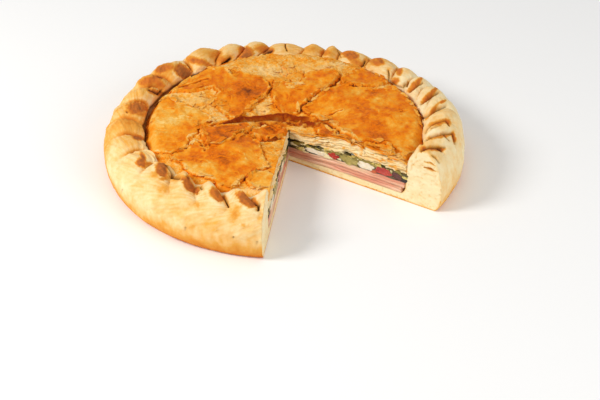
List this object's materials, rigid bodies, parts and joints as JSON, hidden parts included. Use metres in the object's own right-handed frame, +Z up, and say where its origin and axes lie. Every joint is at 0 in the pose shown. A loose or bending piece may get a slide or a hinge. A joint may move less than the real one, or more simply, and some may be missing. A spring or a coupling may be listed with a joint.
{
  "type": "ham and cheese tart",
  "caption": "Round baked tart with a roped pastry rim and a flaky golden lid, and one slice cut out so that its ham, cheese and vegetable layers show.",
  "frame": {"origin": "middle of the underside of the whole round tart, on the surface it stands on", "axes": "+Z up through the lid; -Y towards the open cut; +X to the right of someone who looks into the cut"},
  "size_m": [0.2709, 0.2706, 0.049],
  "materials": {
    "shell_pastry": "matte baked shortcrust, cream on the wall and browned on the crimps",
    "lid_pastry": "flaky pastry with a satin egg glaze, golden to dark orange, pale where torn",
    "ham": "moist satin, pink with faint fibres",
    "vegetables": "moist chopped vegetables, olive green to yellow",
    "cheese": "soft white, satin",
    "red_pepper": "wet red skin",
    "roasted_pepper": "wet dark brown-red",
    "artichoke": "moist olive green"
  },
  "bodies": {
    "root": {"crust_shell": "shell_pastry", "ham_lower": "ham", "ham_upper": "ham", "vegetable_filling": "vegetables", "top_crust": "lid_pastry", "cheese_inner": "cheese", "cheese_middle": "cheese", "cheese_left_inner": "cheese", "cheese_left_outer": "cheese", "pepper_red_inner": "red_pepper", "pepper_red_outer": "red_pepper", "pepper_left": "red_pepper", "pepper_roasted": "roasted_pepper", "artichoke_middle": "artichoke", "artichoke_left": "artichoke"}
  },
  "joints": []
}
